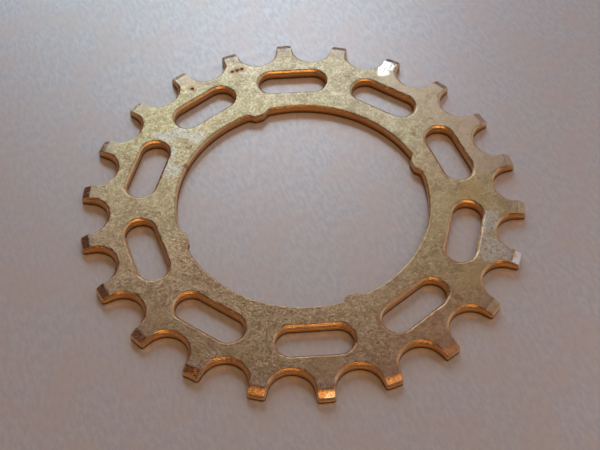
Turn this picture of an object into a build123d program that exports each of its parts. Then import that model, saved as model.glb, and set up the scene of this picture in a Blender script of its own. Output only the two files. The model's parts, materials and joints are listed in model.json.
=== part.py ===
from build123d import *

import os
from math import acos, atan2, cos, hypot, pi, radians, sin

# One flat steel sprocket plate for a half-inch bicycle chain, lying on the XY plane.
# The origin is the bore's centre on the back face and +Z points out of the front face.
# A tooth gap, a slot and a bore lug all lie centred on +X.
# All lengths are in millimetres and all angles in degrees.

# Chain and teeth
CHAIN_PITCH = 12.7
ROLLER_DIAMETER = 7.75
TEETH = 22
OUTSIDE_DIAMETER = 93.3
GAP_RADIUS = 4.55
TIP_WIDTH = 3.5
TIP_CORNER_RADIUS = 0.3

# Plate
THICKNESS = 2.3
FRONT_EDGE_RADIUS = 0.45
BACK_EDGE_RADIUS = 0.2

# Slope across each tooth tip on the front face
BEVEL_LENGTH = 1.65
BEVEL_DROP = 0.65

# Bore and its driving lugs
BORE_DIAMETER = 52.9
LUGS = 4
LUG_HEIGHT = 1.05
LUG_TOP_WIDTH = 2.6
LUG_BASE_WIDTH = 4.2
LUG_TOP_CORNER = 0.5
LUG_BASE_CORNER = 0.8

# Weight-saving slots, each a straight slot set across the radius
SLOTS = 10
SLOT_LENGTH = 15.2
SLOT_WIDTH = 6.1
SLOT_CIRCLE_DIAMETER = 68.4

# Punch marks in the front face, beside the roots of two neighbouring teeth
MARK_CIRCLE_DIAMETER = 81.0
DOT_RADIUS = 0.42
DOT_DEPTH = 0.22
DOT_SPACING = 1.15
SINGLE_MARK_TOOTH_ANGLE = 106.4
TRIPLE_MARK_TOOTH_ANGLE = 90.0

PITCH_RADIUS = CHAIN_PITCH / (2 * sin(pi / TEETH))
ROOT_RADIUS = PITCH_RADIUS - ROLLER_DIAMETER / 2
TIP_RADIUS = OUTSIDE_DIAMETER / 2
BORE_RADIUS = BORE_DIAMETER / 2


def around(shape, count):
    """Copies of a shape spaced evenly about the Z axis, the first one where it is."""
    return [Rot(0, 0, 360 * index / count) * shape for index in range(count)]


def tooth_gap():
    """The space between two teeth on +X: a round seat whose sides run straight out to the tips."""
    seat_x = ROOT_RADIUS + GAP_RADIUS
    half_tip_angle = pi / TEETH - TIP_WIDTH / (2 * TIP_RADIUS)
    corner = Vector(TIP_RADIUS * cos(half_tip_angle), TIP_RADIUS * sin(half_tip_angle))
    reach = hypot(corner.X - seat_x, corner.Y)
    tangent_angle = atan2(corner.Y, corner.X - seat_x) + acos(GAP_RADIUS / reach)
    tangent = Vector(seat_x + GAP_RADIUS * cos(tangent_angle), GAP_RADIUS * sin(tangent_angle))
    outer = corner + (corner - tangent)
    sides = Polygon(
        (tangent.X, tangent.Y),
        (tangent.X, -tangent.Y),
        (outer.X, -outer.Y),
        (outer.X, outer.Y),
        align=None,
    )
    return Pos(seat_x, 0) * Circle(GAP_RADIUS) + sides


def toothed_disc():
    """The plate's outer outline with every tooth, its tip corners slightly rounded."""
    disc = Circle(TIP_RADIUS) - around(tooth_gap(), TEETH)
    tips = [v for v in disc.vertices() if abs(Vector(v).length - TIP_RADIUS) < 0.01]
    return fillet(tips, TIP_CORNER_RADIUS)


def bore_opening():
    """The bore's outline: a circle with a low lug standing inwards on each quarter."""
    inner = BORE_RADIUS - LUG_HEIGHT
    outer = BORE_RADIUS + 1
    flare = (LUG_BASE_WIDTH - LUG_TOP_WIDTH) / 2 * (outer - inner) / LUG_HEIGHT
    lug = Polygon(
        (inner, -LUG_TOP_WIDTH / 2),
        (outer, -LUG_TOP_WIDTH / 2 - flare),
        (outer, LUG_TOP_WIDTH / 2 + flare),
        (inner, LUG_TOP_WIDTH / 2),
        align=None,
    )
    opening = Circle(BORE_RADIUS) - around(lug, LUGS)
    base = [v for v in opening.vertices() if abs(Vector(v).length - BORE_RADIUS) < 0.01]
    opening = fillet(base, LUG_BASE_CORNER)
    top_radius = hypot(inner, LUG_TOP_WIDTH / 2)
    top = [v for v in opening.vertices() if abs(Vector(v).length - top_radius) < 0.01]
    return fillet(top, LUG_TOP_CORNER)


def slot():
    """One slot, its long sides across the radius on +X."""
    return Pos(SLOT_CIRCLE_DIAMETER / 2, 0) * SlotOverall(SLOT_LENGTH, SLOT_WIDTH, rotation=90)


def plate():
    """The pierced plate at full thickness, with its edges rounded except across the tooth tips."""
    outline = toothed_disc() - bore_opening() - around(slot(), SLOTS)
    body = extrude(outline, THICKNESS)
    front = body.edges().group_by(Axis.Z)[-1]
    body = fillet([e for e in front if not on_tip(e)], FRONT_EDGE_RADIUS)
    back = body.edges().group_by(Axis.Z)[0]
    return fillet([e for e in back if not on_tip(e)], BACK_EDGE_RADIUS)


def on_tip(edge):
    """True for an edge that lies along a tooth's tip or its rounded corners."""
    return hypot((edge @ 0.5).X, (edge @ 0.5).Y) > TIP_RADIUS - TIP_CORNER_RADIUS


def tip_bevel():
    """A ring that slopes the front face down towards the tooth tips."""
    start = TIP_RADIUS - BEVEL_LENGTH
    over = 2.0
    top = THICKNESS + 1
    slope = BEVEL_DROP / BEVEL_LENGTH
    profile = Polygon(
        (start - over, THICKNESS + slope * over),
        (TIP_RADIUS + over, THICKNESS - BEVEL_DROP - slope * over),
        (TIP_RADIUS + over, top),
        (start - over, top),
        align=None,
    )
    return revolve(Plane.XZ * profile, Axis.Z)


def dot(offset, tooth_angle):
    """One shallow dished punch mark, offset along the tangent from its tooth's centre line."""
    ball_radius = (DOT_RADIUS**2 + DOT_DEPTH**2) / (2 * DOT_DEPTH)
    centre = Pos(MARK_CIRCLE_DIAMETER / 2, offset, THICKNESS - DOT_DEPTH + ball_radius)
    return Rot(0, 0, tooth_angle) * centre * Sphere(ball_radius)


def punch_marks():
    """A single dot beside one tooth and a row of three beside the next."""
    single = [dot(0, SINGLE_MARK_TOOTH_ANGLE)]
    row = [dot(step * DOT_SPACING, TRIPLE_MARK_TOOTH_ANGLE) for step in (-1, 0, 1)]
    return single + row


def sprocket():
    """The whole plate, bevelled at the tips and marked."""
    body = plate() - tip_bevel()
    for mark in punch_marks():
        body -= mark
    return body


os.makedirs("parts", exist_ok=True)
export_step(sprocket(), "parts/sprocket.step")
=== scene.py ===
import json
import math
from types import SimpleNamespace

import bmesh
import bpy
from mathutils import Matrix, Vector, noise
from mathutils.geometry import delaunay_2d_cdt
from mathutils.kdtree import KDTree


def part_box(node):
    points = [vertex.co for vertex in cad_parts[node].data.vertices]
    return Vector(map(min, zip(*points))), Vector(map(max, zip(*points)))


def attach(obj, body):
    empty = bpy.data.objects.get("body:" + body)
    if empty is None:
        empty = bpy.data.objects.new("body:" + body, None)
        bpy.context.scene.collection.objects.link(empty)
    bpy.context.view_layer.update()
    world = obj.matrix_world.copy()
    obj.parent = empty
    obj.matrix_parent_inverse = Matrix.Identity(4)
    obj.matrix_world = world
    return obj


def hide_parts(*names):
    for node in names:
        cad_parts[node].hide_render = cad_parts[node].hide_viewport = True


# The sprocket is drawn in millimetres in the CAD frame, and its mesh is made in metres. Lengths below are in
# millimetres unless a comment says otherwise.
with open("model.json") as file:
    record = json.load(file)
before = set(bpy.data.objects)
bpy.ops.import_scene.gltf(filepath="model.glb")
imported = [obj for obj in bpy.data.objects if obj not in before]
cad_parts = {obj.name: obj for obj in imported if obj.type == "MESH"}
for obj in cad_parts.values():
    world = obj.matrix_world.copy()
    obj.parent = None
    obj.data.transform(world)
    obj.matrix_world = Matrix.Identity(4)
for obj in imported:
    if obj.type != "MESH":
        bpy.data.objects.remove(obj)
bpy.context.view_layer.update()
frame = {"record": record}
MM = 0.001
mounts = {mount["name"]: mount["dims"] for mount in frame["record"]["mounts"]}
low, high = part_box("sprocket")

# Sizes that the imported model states
THICKNESS = (high.z - low.z) / MM
TIP_RADIUS = high.y / MM
PITCH_RADIUS = mounts["chain_teeth"]["pcd_mm"] / 2
TEETH = mounts["chain_teeth"]["count"]
BORE_RADIUS = mounts["lugged_bore"]["r_mm"]
LUGS = mounts["lugged_bore"]["count"]

# Sizes that follow the CAD part
ROLLER_DIAMETER = 7.75
ROOT_RADIUS = PITCH_RADIUS - ROLLER_DIAMETER / 2
GAP_RADIUS = 4.55
TIP_WIDTH = 3.5
BEVEL_LENGTH = 1.65
BEVEL_DROP = 0.65
BEVEL_START_RADIUS = TIP_RADIUS - BEVEL_LENGTH
LUG_HEIGHT = 1.05
LUG_TOP_WIDTH = 2.6
LUG_BASE_WIDTH = 4.2
SLOTS = 10
SLOT_LENGTH = 15.2
SLOT_WIDTH = 6.1
SLOT_CIRCLE_RADIUS = 34.2
MARK_CIRCLE_RADIUS = 40.5
DOT_RADIUS = 0.42
DOT_DEPTH = 0.22
DOT_SPACING = 1.15
SINGLE_MARK_ANGLE = math.radians(106.4)
TRIPLE_MARK_ANGLE = math.radians(90)

# How the blanked plate is worn: its corners and creases are softer than the CAD part's
TIP_CORNER_RADIUS = 0.5
BEVEL_CREASE = 0.3
LUG_RAMP_SOFTENING = 0.9
DOT_FLOOR = 0.25 * DOT_RADIUS
BROAD_UNEVENNESS = 0.006
FINE_UNEVENNESS = 0.003

# The drawn-down rim round the front face: how far it reaches in and down, and less at the tips and lugs
FRONT_ROLL_IN = 0.72
FRONT_ROLL_DOWN = 0.34
TIP_ROLL = 0.3
LUG_ROLL = 0.28
TIP_ROLL_START_RADIUS = 42.5
TIP_ROLL_RUN = 2.5
LUG_ROLL_RUN = 0.1
ROLL_LEAD = 1.15

# How uneven the rim is, as shares of its size, and the share of that which the tips and lugs lose
BROAD_ROLL_WEAR = 0.25
FINE_ROLL_WEAR = 0.15
CRISP_SHARE = 0.6

# The rim ends in a tight corner. A step is how far in and how far down it is, in corner sizes.
ROLL_CORNER = 0.14
CORNER_STEPS = ((0.35, 0.5), (0, 1.4))

# The wall below it: a smooth sheared band, then a torn band set slightly back. A row is its share of the way
# down the wall and how far it is set back.
SHEAR_GROOVE = 0.05
SHEAR_INSET = 0.07
WALL_ROWS = ((0.42, 0), (0.49, 0), (0.53, SHEAR_GROOVE), (0.58, SHEAR_INSET), (0.8, SHEAR_INSET))
TEAR_WANDER = 0.05
INSET_WANDER = 0.8
BACK_ROLL = 0.12

# Mesh fineness, and how much room the points inside a face leave to its edge
FRONT_CLEARANCE = 1.6 * FRONT_ROLL_IN
BEVEL_CLEARANCE = 2.8 * TIP_ROLL
BACK_CLEARANCE = 0.9
ROLL_ROWS = 6
BACK_ROLL_ROWS = 4
CORNER_POINTS = 5
OUTLINE_STEP = 0.3
GRID_STEP = 0.6
BACK_GRID_STEP = 1.4
DOT_GRID_STEP = 0.1
BEVEL_GRID_STEP = 0.3
CREASE_ROWS = (-2, -1, -0.5, 0, 0.5, 1, 2)
BEVEL_ROWS = (0.8, 1.2)


def polar(radius, angle):
    return Vector((radius * math.cos(angle), radius * math.sin(angle)))


def rotated(points, angle):
    turn = Matrix.Rotation(angle, 2)
    return [turn @ point for point in points]


def arc(centre, radius, start, end):
    """Points along an arc, both ends included."""
    count = max(2, math.ceil(abs(end - start) * radius / OUTLINE_STEP))
    return [centre + polar(radius, start + (end - start) * i / count) for i in range(count + 1)]


def line(start, end):
    """Points along a straight run, both ends included."""
    count = max(1, math.ceil((end - start).length / OUTLINE_STEP))
    return [start.lerp(end, i / count) for i in range(count + 1)]


def rounded(before, corner, after, radius):
    """An arc that rounds a corner with a straight line on each side."""
    back, on = (before - corner).normalized(), (after - corner).normalized()
    half = back.angle(on) / 2
    centre = corner + (back + on).normalized() * radius / math.sin(half)
    first = corner + back * radius / math.tan(half) - centre
    last = corner + on * radius / math.tan(half) - centre
    start = math.atan2(first.y, first.x)
    sweep = math.remainder(math.atan2(last.y, last.x) - start, math.tau)
    return [centre + polar(radius, start + sweep * i / (CORNER_POINTS - 1)) for i in range(CORNER_POINTS)]


def tooth_gap_outline():
    """From one tooth's tip, down round the gap on +X and up to the next tooth's tip."""
    seat = Vector((ROOT_RADIUS + GAP_RADIUS, 0))
    corner = polar(TIP_RADIUS, math.pi / TEETH - TIP_WIDTH / 2 / TIP_RADIUS)
    reach = corner - seat
    tangent_angle = math.atan2(reach.y, reach.x) + math.acos(GAP_RADIUS / reach.length)
    tangent = seat + polar(GAP_RADIUS, tangent_angle)
    tip_middle = polar(TIP_RADIUS, math.pi / TEETH)
    upper_corner = rounded(tangent, corner, tip_middle, TIP_CORNER_RADIUS)
    upper = line(tangent, upper_corner[0])[:-1] + upper_corner + line(upper_corner[-1], tip_middle)[1:-1]
    lower = [Vector((point.x, -point.y)) for point in [tip_middle] + upper[::-1]]
    seat_arc = arc(seat, GAP_RADIUS, math.tau - tangent_angle, tangent_angle)[1:-1]
    return lower + seat_arc + upper


def outer_outline():
    one = tooth_gap_outline()
    return [point for i in range(TEETH) for point in rotated(one, math.tau * i / TEETH)]


def slot_outline():
    run = (SLOT_LENGTH - SLOT_WIDTH) / 2
    inner, outer = SLOT_CIRCLE_RADIUS - SLOT_WIDTH / 2, SLOT_CIRCLE_RADIUS + SLOT_WIDTH / 2
    upper_end = arc(Vector((SLOT_CIRCLE_RADIUS, run)), SLOT_WIDTH / 2, 0, math.pi)
    lower_end = arc(Vector((SLOT_CIRCLE_RADIUS, -run)), SLOT_WIDTH / 2, math.pi, math.tau)
    inner_side = line(Vector((inner, run)), Vector((inner, -run)))
    outer_side = line(Vector((outer, -run)), Vector((outer, run)))
    return upper_end[:-1] + inner_side[:-1] + lower_end[:-1] + outer_side[:-1]


def smooth_step(value):
    value = min(max(value, 0), 1)
    return value * value * (3 - 2 * value)


def bore_outline():
    """The bore, with a low lug whose sides are smooth ramps on each quarter."""
    count = round(math.tau * BORE_RADIUS / OUTLINE_STEP)
    middle = (LUG_TOP_WIDTH + LUG_BASE_WIDTH) / 4
    ramp = (LUG_BASE_WIDTH - LUG_TOP_WIDTH) / 2 + LUG_RAMP_SOFTENING
    points = []
    for i in range(count):
        angle = math.tau * i / count
        from_lug = abs(math.remainder(angle, math.tau / LUGS)) * BORE_RADIUS
        rise = LUG_HEIGHT * smooth_step(0.5 - (from_lug - middle) / ramp)
        points.append(polar(BORE_RADIUS - rise, angle))
    return points


class Loop:
    """A closed outline that runs anticlockwise, with unit normals that point out of the metal."""

    def __init__(self, points, is_hole):
        self.points = points
        self.normals = []
        for i in range(len(points)):
            along = (points[(i + 1) % len(points)] - points[i - 1]).normalized()
            normal = Vector((along.y, -along.x))
            self.normals.append(-normal if is_hole else normal)


def sprocket_loops():
    slot = slot_outline()
    slots = [Loop(rotated(slot, math.tau * i / SLOTS), True) for i in range(SLOTS)]
    return [Loop(outer_outline(), False), Loop(bore_outline(), True)] + slots


def dot_centres():
    """The punch dots in front of two neighbouring teeth: a single one, and a row of three."""
    row = polar(MARK_CIRCLE_RADIUS, TRIPLE_MARK_ANGLE)
    across = polar(DOT_SPACING, TRIPLE_MARK_ANGLE + math.pi / 2)
    return [polar(MARK_CIRCLE_RADIUS, SINGLE_MARK_ANGLE)] + [row + across * i for i in (-1, 0, 1)]


def noise_at(point, step, seed):
    """Smooth noise from about -1 to 1, whose bumps are about a step in mm across."""
    return noise.noise(Vector((point.x / step, point.y / step, seed)))


def front_height(point):
    """The front face's height in mm: nearly flat, with dots punched in and a bevel along each tooth tip."""
    past = point.length - BEVEL_START_RADIUS
    slope = BEVEL_DROP / BEVEL_LENGTH
    if past < -BEVEL_CREASE:
        drop = 0
    elif past < BEVEL_CREASE:
        drop = slope * (past + BEVEL_CREASE) ** 2 / (4 * BEVEL_CREASE)
    else:
        drop = slope * past
    for dot in dot_centres():
        past_floor = (point - dot).length - DOT_FLOOR
        drop += DOT_DEPTH * (1 - smooth_step(past_floor / DOT_RADIUS))
    drop += BROAD_UNEVENNESS * (1 + noise_at(point, 2.6, 1.0))
    drop += FINE_UNEVENNESS * (1 + noise_at(point, 0.9, 2.0))
    return THICKNESS - drop


def front_roll(point):
    """How far the rounded front edge reaches in and down here: less on the lugs and at the tooth tips."""
    near_tip = smooth_step((point.length - TIP_ROLL_START_RADIUS) / TIP_ROLL_RUN)
    near_lug = smooth_step((BORE_RADIUS + LUG_ROLL_RUN / 2 - point.length) / LUG_ROLL_RUN)
    reach_in = FRONT_ROLL_IN
    reach_in += (TIP_ROLL - FRONT_ROLL_IN) * near_tip
    reach_in += (LUG_ROLL - FRONT_ROLL_IN) * near_lug
    reach_down = min(FRONT_ROLL_DOWN, reach_in)
    wear = BROAD_ROLL_WEAR * noise_at(point, 1.6, 3.0) + FINE_ROLL_WEAR * noise_at(point, 0.5, 4.0)
    scale = 1 + wear * (1 - CRISP_SHARE * max(near_tip, near_lug))
    return reach_in * scale, reach_down * scale


def edge_profile(point, normal):
    """Rows from the front face over its rounded edge, down the sheared wall and under to the back face.

    A row is its place, its height, how far it is onto the edge and how far it is down the wall."""
    reach_in, reach_down = front_roll(point)
    start = point - normal * reach_in * ROLL_LEAD
    rows = [(start, front_height(start), 0, 0)]
    for step in range(ROLL_ROWS):
        share = step / (ROLL_ROWS - 1)
        spot = point - normal * (ROLL_CORNER + (reach_in - ROLL_CORNER) * (1 - share))
        rows.append((spot, front_height(spot) - reach_down * share ** 2, 0.9 * share, 0))
    rim = rows[-1][1]
    for inwards, down in CORNER_STEPS:
        rows.append((point - normal * ROLL_CORNER * inwards, rim - ROLL_CORNER * down, 1, 0))
    wall_top = rows[-1][1]
    wander = TEAR_WANDER * noise_at(point, 1.3, 5.0)
    for down, inset in WALL_ROWS:
        depth = inset * (1 + INSET_WANDER * noise_at(point, 0.6, 6.0 + 3 * down))
        height = wall_top + (BACK_ROLL - wall_top) * (down + wander)
        rows.append((point - normal * depth, height, 1, down))
    for step in range(BACK_ROLL_ROWS):
        share = step / (BACK_ROLL_ROWS - 1)
        turn = math.pi / 2 * share
        inset = BACK_ROLL * (1 - math.cos(turn))
        rows.append((point - normal * inset, BACK_ROLL * (1 - math.sin(turn)), 1 - share, 1))
    return rows


class Plate:
    """Collects the sprocket's vertices and faces, and what the material asks of each vertex."""

    def __init__(self):
        self.vertices = []
        self.faces = []
        self.edge = []
        self.wall = []

    def add(self, point, height, edge=0.0, wall=0.0):
        self.vertices.append((point.x * MM, point.y * MM, height * MM))
        self.edge.append(edge)
        self.wall.append(wall)
        return len(self.vertices) - 1

    def add_wall(self, loop):
        """Builds a loop's edges and wall, and returns the rings of vertices that bound the two faces."""
        columns = []
        for point, normal in zip(loop.points, loop.normals):
            columns.append([self.add(*row) for row in edge_profile(point, normal)])
        for i, column in enumerate(columns):
            after = columns[(i + 1) % len(columns)]
            for j in range(len(column) - 1):
                self.faces.append((column[j], after[j], after[j + 1], column[j + 1]))
        return [column[0] for column in columns], [column[-1] for column in columns]

    def fill(self, rings, inside, height_at):
        """Fills a face between its rings with triangles: the first ring is outside, the others are holes."""
        points = []
        outlines = []
        index_of = []
        for ring in rings:
            outlines.append(list(range(len(points), len(points) + len(ring))))
            points += [Vector(self.vertices[vertex][:2]) / MM for vertex in ring]
            index_of += ring
        for point in inside:
            points.append(point)
            index_of.append(self.add(point, height_at(point)))
        _, _, triangles, origins, _, covers = delaunay_2d_cdt(points, [], outlines, 0, 1e-5)
        for triangle, outlines_over in zip(triangles, covers):
            if list(outlines_over) == [0]:
                self.faces.append(tuple(index_of[origins[i][0]] for i in triangle))


class EdgeFinder:
    """Says how deep inside the metal a point is."""

    def __init__(self, loops):
        self.edges = [edge for loop in loops for edge in zip(loop.points, loop.normals)]
        self.tree = KDTree(len(self.edges))
        for i, (point, _) in enumerate(self.edges):
            self.tree.insert((point.x, point.y, 0), i)
        self.tree.balance()

    def depth(self, point):
        _, i, distance = self.tree.find((point.x, point.y, 0))
        edge, normal = self.edges[i]
        return distance if (point - edge).dot(normal) < 0 else -distance


def hex_grid(step, reach, centre=Vector((0, 0))):
    """Staggered points in a circle."""
    row_height = step * math.sqrt(3) / 2
    rows = math.ceil(reach / row_height)
    columns = math.ceil(reach / step)
    found = []
    for row in range(-rows, rows + 1):
        for column in range(-columns, columns + 1):
            point = Vector(((column + row % 2 / 2) * step, row * row_height))
            if point.length < reach:
                found.append(point + centre)
    return found


def bevel_points():
    """Rows of points along each tooth's bevel and its crease."""
    outwards = [BEVEL_CREASE * row for row in CREASE_ROWS] + list(BEVEL_ROWS)
    radii = [BEVEL_START_RADIUS + distance for distance in outwards]
    half = round(TIP_WIDTH / 2 / BEVEL_GRID_STEP) + 1
    found = []
    for tooth in range(TEETH):
        middle = math.tau * (tooth + 0.5) / TEETH
        for radius in radii:
            found += [polar(radius, middle + i * BEVEL_GRID_STEP / radius) for i in range(-half, half + 1)]
    return found


def front_points(finder):
    """Points inside the front face: fine on the bevels and the punch dots, even everywhere else."""
    dots = dot_centres()
    dot_reach = DOT_RADIUS * 1.6
    grid_reach = BEVEL_START_RADIUS - 2 * BEVEL_CREASE - GRID_STEP / 2
    found = []
    for point in hex_grid(GRID_STEP, grid_reach):
        off_dots = all((point - dot).length > dot_reach for dot in dots)
        if off_dots and finder.depth(point) > FRONT_CLEARANCE:
            found.append(point)
    found += [point for point in bevel_points() if finder.depth(point) > BEVEL_CLEARANCE]
    for i, dot in enumerate(dots):
        for point in hex_grid(DOT_GRID_STEP, dot_reach, dot):
            if all((point - other).length > dot_reach for other in dots[:i]):
                found.append(point)
    return found


def build_sprocket():
    loops = sprocket_loops()
    finder = EdgeFinder(loops)
    plate = Plate()
    rings = [plate.add_wall(loop) for loop in loops]
    back_grid = hex_grid(BACK_GRID_STEP, TIP_RADIUS)
    back_points = [point for point in back_grid if finder.depth(point) > BACK_CLEARANCE]
    plate.fill([front for front, _ in rings], front_points(finder), front_height)
    plate.fill([back for _, back in rings], back_points, lambda point: 0.0)
    mesh = bpy.data.meshes.new("sprocket_plate")
    mesh.from_pydata(plate.vertices, [], plate.faces)
    mesh.attributes.new("edge", "FLOAT", "POINT").data.foreach_set("value", plate.edge)
    mesh.attributes.new("wall", "FLOAT", "POINT").data.foreach_set("value", plate.wall)
    turned = bmesh.new()
    turned.from_mesh(mesh)
    bmesh.ops.recalc_face_normals(turned, faces=turned.faces)
    turned.to_mesh(mesh)
    turned.free()
    mesh.shade_smooth()
    return link(bpy.data.objects.new("sprocket_plate", mesh))


# The floor and the camera, in metres and degrees. The lens is in millimetres.
FLOOR_WIDTH = 6.0
CAMERA_TARGET = Vector((-0.00304, -0.00613, 0.0023))
CAMERA_DISTANCE = 0.22096
CAMERA_AZIMUTH = -111.488
CAMERA_ELEVATION = 53.425
CAMERA_ROLL = -0.4482
FOCAL_LENGTH = 64.38
CLIP_START = 0.01


def link(thing):
    bpy.context.scene.collection.objects.link(thing)
    return thing


def build_floor():
    reach = FLOOR_WIDTH / 2
    corners = [(-reach, -reach, 0), (reach, -reach, 0), (reach, reach, 0), (-reach, reach, 0)]
    mesh = bpy.data.meshes.new("floor")
    mesh.from_pydata(corners, [], [(0, 1, 2, 3)])
    return link(bpy.data.objects.new("floor", mesh))


def direction(azimuth, elevation):
    """A unit vector from an azimuth, counted from +X, and an elevation, both in degrees."""
    around = math.radians(azimuth)
    up = math.radians(elevation)
    return Vector((math.cos(around) * math.cos(up), math.sin(around) * math.cos(up), math.sin(up)))


def aimed(target, back, distance, roll=0.0):
    """Places a camera or lamp at a distance along a direction from its target, looking at it.

    The roll is in degrees."""
    turn = back.to_track_quat("Z", "Y").to_matrix().to_4x4()
    return Matrix.Translation(target + back * distance) @ turn @ Matrix.Rotation(math.radians(roll), 4, "Z")


def add_camera():
    data = bpy.data.cameras.new("camera")
    data.lens = FOCAL_LENGTH
    data.clip_start = CLIP_START
    camera = link(bpy.data.objects.new("camera", data))
    back = direction(CAMERA_AZIMUTH, CAMERA_ELEVATION)
    camera.matrix_world = aimed(CAMERA_TARGET, back, CAMERA_DISTANCE, CAMERA_ROLL)
    bpy.context.scene.camera = camera


def add_area_light(name, azimuth, elevation, width, height, power, colour):
    data = bpy.data.lights.new(name, "AREA")
    data.shape = "RECTANGLE"
    data.size = width
    data.size_y = height
    data.energy = power
    data.color = colour
    lamp = link(bpy.data.objects.new(name, data))
    lamp.matrix_world = aimed(Vector((0, 0, 0)), direction(azimuth, elevation), LIGHT_DISTANCE)


class Nodes:
    """Short ways to make the nodes of a material or of the world."""

    def __init__(self, owner):
        owner.use_nodes = True
        self.owner = owner
        self.tree = owner.node_tree

    def put(self, socket, value):
        if isinstance(value, bpy.types.NodeSocket):
            self.tree.links.new(value, socket)
        else:
            socket.default_value = value

    def node(self, kind, inputs=(), **settings):
        made = self.tree.nodes.new(kind)
        for key, value in settings.items():
            setattr(made, key, value)
        for key, value in dict(inputs).items():
            self.put(made.inputs[key], value)
        return made

    def set(self, socket, value, node="Principled BSDF"):
        self.put(self.tree.nodes[node].inputs[socket], value)

    def math(self, operation, *values):
        return self.node("ShaderNodeMath", enumerate(values), operation=operation).outputs[0]

    def times(self, first, *others):
        """The product of some numbers."""
        for other in others:
            first = self.math("MULTIPLY", first, other)
        return first

    def add_share(self, number, share, amount):
        """A number with a share of an amount added to it."""
        return self.math("MULTIPLY_ADD", share, amount, number)

    def vector(self, operation, *values):
        return self.node("ShaderNodeVectorMath", enumerate(values), operation=operation).outputs["Vector"]

    def measure(self, operation, *values):
        """A vector's length, or the distance or dot product of two."""
        return self.node("ShaderNodeVectorMath", enumerate(values), operation=operation).outputs["Value"]

    def attribute(self, name):
        return self.node("ShaderNodeAttribute", attribute_name=name).outputs["Fac"]

    def position(self, stretch=(1, 1, 1)):
        """The place on the piece in mm, stretched along each axis."""
        place = self.node("ShaderNodeTexCoord").outputs["Object"]
        return self.vector("MULTIPLY", place, Vector(stretch) / MM)

    def turned(self, place, angle):
        """A place turned about the Z axis by an angle in degrees."""
        inputs = {"Vector": place, "Angle": math.radians(angle)}
        return self.node("ShaderNodeVectorRotate", inputs, rotation_type="Z_AXIS").outputs["Vector"]

    def noise(self, place, size, detail=2.0, roughness=0.5, seed=0.0):
        """Smooth noise with bumps about size in mm across, from 0 to 1."""
        inputs = {"Vector": place, "W": seed, "Scale": 1 / size, "Detail": detail, "Roughness": roughness}
        return self.node("ShaderNodeTexNoise", inputs, noise_dimensions="4D").outputs["Fac"]

    def range(self, value, start, end, low=0.0, high=1.0):
        """Maps start..end smoothly to low..high, and holds it outside."""
        inputs = {"Value": value, "From Min": start, "From Max": end, "To Min": low, "To Max": high}
        return self.node("ShaderNodeMapRange", inputs, interpolation_type="SMOOTHSTEP").outputs["Result"]

    def mix(self, share, first, second):
        """Blends two colours by a share from 0 to 1."""
        return self.node("ShaderNodeMix", {0: share, 6: first, 7: second}, data_type="RGBA").outputs[2]

    def blend(self, share, first, second):
        """Blends two numbers by a share from 0 to 1."""
        return self.node("ShaderNodeMix", {0: share, 2: first, 3: second}, data_type="FLOAT").outputs[0]

    def tint(self, share, colour, factor):
        """Multiplies a colour by a factor for each channel, by a share from 0 to 1."""
        return self.vector("MULTIPLY", colour, self.mix(share, WHITE, factor))


def ragged_spots(shade, place, where, ragged):
    """A mask of round spots that the noise tears apart, from 0 to 1. A spot is its x, y and radius in mm."""
    torn = shade.math("SUBTRACT", shade.noise(place, 2.2, detail=7, roughness=0.7, seed=5), 0.5)
    flat = shade.vector("MULTIPLY", place, (1, 1, 0))
    inside = OUTSIDE_ALL
    for x, y, radius in where:
        away = shade.measure("DISTANCE", flat, (x, y, 0))
        inside = shade.math("MAXIMUM", inside, shade.math("MULTIPLY_ADD", away, -1 / radius, 1.0))
    return shade.range(shade.add_share(inside, torn, ragged), 0.0, 0.4)


def scratches(shade, place, angle, length, gap, width, seed):
    """A mask of fine, nearly straight scratches that run at an angle in degrees from +X."""
    drawn_out = shade.vector("MULTIPLY", shade.turned(place, -angle), (1 / length, 1 / gap, 0))
    ridges = shade.noise(drawn_out, 1.0, detail=1, seed=seed)
    groove = shade.range(shade.math("ABSOLUTE", shade.math("SUBTRACT", ridges, 0.5)), width, 0.0)
    patches = shade.range(shade.noise(place, 4.0, seed=seed + 1), 0.5, 0.6)
    return shade.times(groove, patches)


# What ragged_spots starts from: a value well below that of any spot
OUTSIDE_ALL = -9.0

# Where the front face is worn: each spot's x, y and radius in mm
TANNED = [(34.0, 22.0, 9.0), (40.0, 9.0, 9.0), (41.0, -3.0, 7.0), (-8.0, 43.5, 6.0), (8.0, 43.0, 5.0)]
RUBBED_BARE = [(32.6, 29.4, 2.5), (31.0, 27.0, 1.6), (35.4, -30.6, 2.5), (-12.3, -44.5, 1.4)]
FADED_GREY = [(-21.2, 27.6, 2.6), (-18.0, 28.2, 2.4), (-14.6, 25.0, 2.2), (-22.6, 22.5, 2.2),
              (-23.2, 18.0, 2.4), (31.4, -26.6, 4.6), (33.0, -20.0, 3.2)]
GOLDEN_STAINS = [(27.6, -29.0, 3.6), (33.6, -11.6, 3.6), (23.0, -31.0, 3.0)]
DULLED = [(-31.0, -23.0, 6.5), (-25.5, -29.5, 5.0), (-36.5, -16.0, 4.0), (-11.0, -37.5, 4.0)]
RUST_SPECKS = [(-19.9, 17.9, 0.6), (-12.4, -24.9, 0.4), (-14.1, -26.1, 0.25)]

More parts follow.
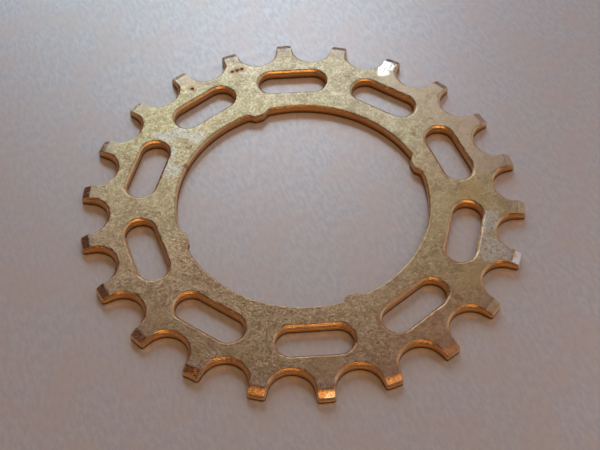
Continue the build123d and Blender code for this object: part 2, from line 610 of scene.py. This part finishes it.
# Colours of the plating and of what shows through it, and two painted shades: a dark reflection under the
# rims and the shade where the walls meet the table
WHITE = (1, 1, 1, 1)
GOLD = (0.75, 0.57, 0.31, 1)
ROSY_GOLD = (0.75, 0.53, 0.31, 1)
PALE_GOLD = (0.98, 0.85, 0.58, 1)
TARNISH = (0.40, 0.265, 0.13, 1)
HANDLED = (0.62, 0.46, 0.34, 1)
COPPERY = (0.94, 0.60, 0.29, 1)
# Painted reflection: the dark band under each rim, where the smooth wall mirrors the dark room
PAINTED_DARK_REFLECTION = (0.42, 0.20, 0.07, 1)
TORN_COPPER = (0.58, 0.27, 0.10, 1)
# Painted shade: the dark contact shadow where the walls meet the table
PAINTED_CONTACT_SHADE = (0.10, 0.05, 0.03, 1)
BARE_STEEL = (0.90, 0.84, 0.82, 1)
FADED_STEEL = (0.84, 0.74, 0.67, 1)
STAIN = (0.68, 0.43, 0.19, 1)
TAN = (0.72, 0.50, 0.36, 1)
RUSTY_TAN = (0.52, 0.30, 0.17, 1)
RUST = (0.36, 0.15, 0.06, 1)

# How the colour changes over the part: two directions in degrees from +X, and each channel's factors. The
# near-left and far-right tints are painted light and shade, darker and warmer towards the near left and bluer
# towards the far right; the right and bevel tints drift the plating's own colour.
NEAR_LEFT = -130
RIGHT = -30
NEAR_LEFT_PAINTED_SHADE = (0.93, 0.77, 0.78, 1)
FAR_RIGHT_PAINTED_LIGHT = (1.02, 1.06, 1.22, 1)
RIGHT_TINT = (0.93, 0.84, 0.80, 1)
BEVEL_TINT = (1.06, 1.15, 1.12, 1)

# The way that the fine scratches and the streaks on the bare spots run, in degrees from +X
GRAIN_ANGLE = 38

# The depth of the surface's relief in mm
BUMP_DEPTH = 0.09


def surface_fields(shade):
    """What the plating's colour, roughness and relief are made from: places, noises and masks."""
    place = shade.position()
    edge = shade.attribute("edge")
    wall = shade.attribute("wall")
    radius = shade.measure("LENGTH", shade.vector("MULTIPLY", place, (1, 1, 0)))
    mottle = shade.noise(place, 1.5, detail=5, roughness=0.7, seed=2)
    dots = dot_centres()
    dot_stains = [(dot.x, dot.y, DOT_RADIUS * 2.8) for dot in dots]
    dot_rust = [(dot.x, dot.y, DOT_RADIUS) for dot in dots]
    upright = shade.vector("MULTIPLY", place, (1, 1, 0.12))
    streaks = shade.vector("MULTIPLY", shade.turned(place, -GRAIN_ANGLE), (0.25, 2.2, 0))
    rubbed = ragged_spots(shade, place, RUBBED_BARE, ragged=3.0)
    return SimpleNamespace(
        edge=edge,
        wall=wall,
        radius=radius,
        height=shade.node("ShaderNodeSeparateXYZ", {0: place}).outputs["Z"],
        near_left=shade.measure("DOT_PRODUCT", place, direction(NEAR_LEFT, 0)),
        right=shade.measure("DOT_PRODUCT", place, direction(RIGHT, 0)),
        grain=shade.noise(place, 0.42, detail=4, roughness=0.7, seed=1),
        mottle=mottle,
        drift=shade.noise(place, 14, detail=3, seed=3),
        combed=shade.noise(upright, 0.16, seed=4),
        brushed=shade.noise(streaks, 1.0, detail=3, roughness=0.6, seed=8),
        on_bevel=shade.range(radius, BEVEL_START_RADIUS - 0.1, BEVEL_START_RADIUS + 0.1),
        bare=shade.times(rubbed, shade.range(edge, 0.8, 0.4)),
        faded=ragged_spots(shade, place, FADED_GREY, ragged=3.6),
        golden=ragged_spots(shade, place, GOLDEN_STAINS, ragged=2.0),
        tanned=ragged_spots(shade, place, TANNED, ragged=1.5),
        dulled=ragged_spots(shade, place, DULLED, ragged=3.0),
        stained=ragged_spots(shade, place, dot_stains, ragged=2.5),
        rusted=ragged_spots(shade, place, RUST_SPECKS + dot_rust, ragged=2.5),
        scored=scratches(shade, place, GRAIN_ANGLE, length=9, gap=0.22, width=0.012, seed=7),
        sheared=shade.range(wall, 0.0, 0.01),
        torn=shade.range(shade.add_share(wall, mottle, 0.12), 0.30, 0.56),
    )


def face_colour(shade, at):
    """Mottled gold plating that drifts in colour over the part, with its stains and faded smears, and painted
    shade and light across it: darker and warmer towards the near left, bluer towards the far right.
    """
    colour = shade.mix(shade.range(at.drift, 0.35, 0.65), GOLD, ROSY_GOLD)
    contrast = shade.range(at.right, 0, 32, 0.7, 0.4)
    colour = shade.mix(shade.times(shade.range(at.grain, 0.48, 0.60), contrast), colour, PALE_GOLD)
    colour = shade.mix(shade.times(shade.range(at.grain, 0.50, 0.40), contrast), colour, TARNISH)
    colour = shade.mix(shade.range(at.mottle, 0.44, 0.62, 0, 0.5), colour, TARNISH)
    colour = shade.mix(shade.range(at.radius, 41.5, 44.5, 0, 0.5), colour, HANDLED)
    # Painted shade and light: darker and warmer towards the near left, bluer towards the far right
    colour = shade.tint(shade.range(at.near_left, -4, 30), colour, NEAR_LEFT_PAINTED_SHADE)
    colour = shade.tint(shade.range(at.near_left, -8, -34), colour, FAR_RIGHT_PAINTED_LIGHT)
    colour = shade.tint(shade.range(at.right, 14, 34), colour, RIGHT_TINT)
    colour = shade.tint(at.on_bevel, colour, BEVEL_TINT)
    colour = shade.mix(shade.times(at.golden, 0.6), colour, STAIN)
    colour = shade.mix(shade.times(at.tanned, 0.5), colour, TAN)
    colour = shade.mix(shade.times(at.dulled, shade.range(at.grain, 0.45, 0.6), 0.6), colour, TARNISH)
    smeared = shade.times(at.faded, shade.range(at.grain, 0.42, 0.56, 0.2, 0.75))
    return shade.mix(smeared, colour, FADED_STEEL)


def edge_colour(shade, at, colour):
    """Copper on the rims, a painted dark reflection and torn copper below them, and painted contact shade low
    on the walls.
    """
    colour = shade.mix(shade.range(at.edge, 0.25, 0.8), colour, COPPERY)
    colour = shade.mix(at.torn, colour, TORN_COPPER)
    # Painted reflection: a dark band just below the rim, standing in for the dark room that the smooth wall
    # mirrors
    dark_reflection_band = shade.times(shade.range(at.wall, 0.01, 0.06), shade.range(at.wall, 0.26, 0.14), 0.7)
    colour = shade.mix(dark_reflection_band, colour, PAINTED_DARK_REFLECTION)
    # Painted shade: the walls darken towards the table, standing in for the contact shadow where they meet it
    contact_shade = shade.times(at.sheared, shade.range(at.height, 0.65, 0.25, 0, 0.95))
    return shade.mix(contact_shade, colour, PAINTED_CONTACT_SHADE)


def worn_colour(shade, at, colour):
    """Spots rubbed down to the steel, and rust on the specks and punch marks."""
    brushed_steel = shade.mix(shade.range(at.brushed, 0.34, 0.46), GOLD, BARE_STEEL)
    colour = shade.mix(at.bare, colour, brushed_steel)
    colour = shade.mix(shade.times(at.stained, 0.6), colour, RUSTY_TAN)
    return shade.mix(shade.times(at.rusted, 0.65), colour, RUST)


def plating_roughness(shade, at):
    """Smooth rims, bevels and bare spots; rougher grain, dulled areas, torn walls and rust."""
    rough = shade.range(at.grain, 0.3, 0.7, 0.28, 0.37)
    rough = shade.blend(shade.range(at.edge, 0.2, 0.6), rough, 0.17)
    rough = shade.add_share(rough, at.on_bevel, -0.08)
    rough = shade.add_share(rough, at.dulled, 0.05)
    rough = shade.add_share(rough, at.torn, 0.15)
    rough = shade.add_share(rough, at.bare, -0.08)
    return shade.add_share(rough, at.rusted, 0.25)


def plating_relief(shade, at):
    """Grain on the faces, upright combing on the walls, scratches, and streaks on the bare spots."""
    relief = shade.times(at.grain, shade.blend(at.on_bevel, 1.0, 0.5))
    relief = shade.add_share(relief, at.combed, shade.range(at.edge, 0.6, 1.0, 0, 0.6))
    relief = shade.add_share(relief, at.scored, -0.5)
    relief = shade.blend(at.bare, relief, shade.times(at.brushed, 0.6))
    bump = shade.node("ShaderNodeBump", {"Height": relief, "Distance": BUMP_DEPTH * MM, "Strength": 1.0})
    return bump.outputs["Normal"]


def plated_steel():
    shade = Nodes(bpy.data.materials.new("plated_steel"))
    at = surface_fields(shade)
    colour = edge_colour(shade, at, face_colour(shade, at))
    shade.set("Base Color", worn_colour(shade, at, colour))
    shade.set("Metallic", 1.0)
    shade.set("Roughness", plating_roughness(shade, at))
    shade.set("Normal", plating_relief(shade, at))
    return shade.owner


# Colours of the table
TABLE_BLUE_GREY = (0.74, 0.77, 0.91, 1)
TABLE_PALE = (0.86, 0.89, 1.00, 1)
TABLE_ROSY = (0.86, 0.78, 0.82, 1)


def table_top():
    """A plain pale table, wiped in one direction and faintly blotched."""
    shade = Nodes(bpy.data.materials.new("table_top"))
    blotches = shade.noise(shade.position(), 9, detail=6, roughness=0.65, seed=11)
    wiped = shade.noise(shade.position((1, 0.4, 1)), 0.8, detail=4, roughness=0.6, seed=12)
    colour = shade.mix(shade.range(wiped, 0.38, 0.62), TABLE_BLUE_GREY, TABLE_PALE)
    shade.set("Base Color", shade.mix(shade.range(blotches, 0.42, 0.62, 0, 0.5), colour, TABLE_ROSY))
    shade.set("Metallic", 0.22)
    shade.set("Roughness", shade.range(wiped, 0.3, 0.7, 0.36, 0.30))
    return shade.owner


# Soft glows of the studio: azimuth and elevation of the middle, half-width in degrees, and colour
GLOWS = {
    "room": (-105, 25, 85, (0.09, 0.035, 0.00)),
    "room_right": (-60, 20, 60, (0.03, 0.04, 0.03)),
    "right": (0, 15, 60, (0.43, 0.43, 0.46)),
    "left": (165, 15, 60, (0.16, 0.12, 0.10)),
    "far": (80, 5, 50, (0.14, 0.02, 0.00)),
}
DIM = (0.02, 0.00, 0.00)

# Area lights that face the sprocket: azimuth and elevation in degrees, width and height in metres, power in
# watts and colour
LIGHT_DISTANCE = 1.0
LAMP_COLOUR = (1.00, 0.55, 0.19)
AREA_LIGHTS = {
    "window_top": (70, 40, 0.27, 0.28, 0.84, (0.88, 1.00, 1.00)),
    "window_left": (85, 36, 0.14, 0.14, 0.145, (0.62, 1.00, 0.95)),
    "window_low": (90, 24, 0.32, 0.28, 0.87, (0.63, 0.86, 1.00)),
    "window_right": (65, 24, 0.48, 0.28, 0.66, (0.40, 0.74, 1.00)),
    "lamp": (-92, 75, 0.29, 0.17, 0.12, LAMP_COLOUR),
    "lamp_left": (-130, 70, 0.20, 0.17, 0.28, LAMP_COLOUR),
    "lamp_right": (-55, 63, 0.20, 0.20, 0.38, LAMP_COLOUR),
    "panel_right": (14, 48, 0.30, 0.26, 0.16, (1.00, 1.00, 1.00)),
    "lamp_bulb": (-100, 60, 0.36, 0.30, 0.95, (1.00, 0.62, 0.28)),
}


def add_world():
    sky = Nodes(bpy.data.worlds.new("studio"))
    look = sky.node("ShaderNodeTexCoord").outputs["Generated"]
    total = DIM
    for name, (azimuth, elevation, spread, colour) in GLOWS.items():
        towards = sky.measure("DOT_PRODUCT", look, direction(azimuth, elevation))
        share = sky.range(towards, math.cos(math.radians(spread)), 1.0)
        glow = sky.node("ShaderNodeVectorMath", {0: colour, "Scale": share}, operation="SCALE", name=name)
        total = sky.vector("ADD", total, glow.outputs["Vector"])
    sky.set("Color", total, "Background")
    bpy.context.scene.world = sky.owner


add_camera()
sprocket = build_sprocket()
sprocket.data.materials.append(plated_steel())
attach(sprocket, "root")
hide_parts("sprocket")

floor = build_floor()
floor.data.materials.append(table_top())

add_world()
for name, settings in AREA_LIGHTS.items():
    add_area_light(name, *settings)
bpy.context.scene.view_settings.view_transform = "Standard"
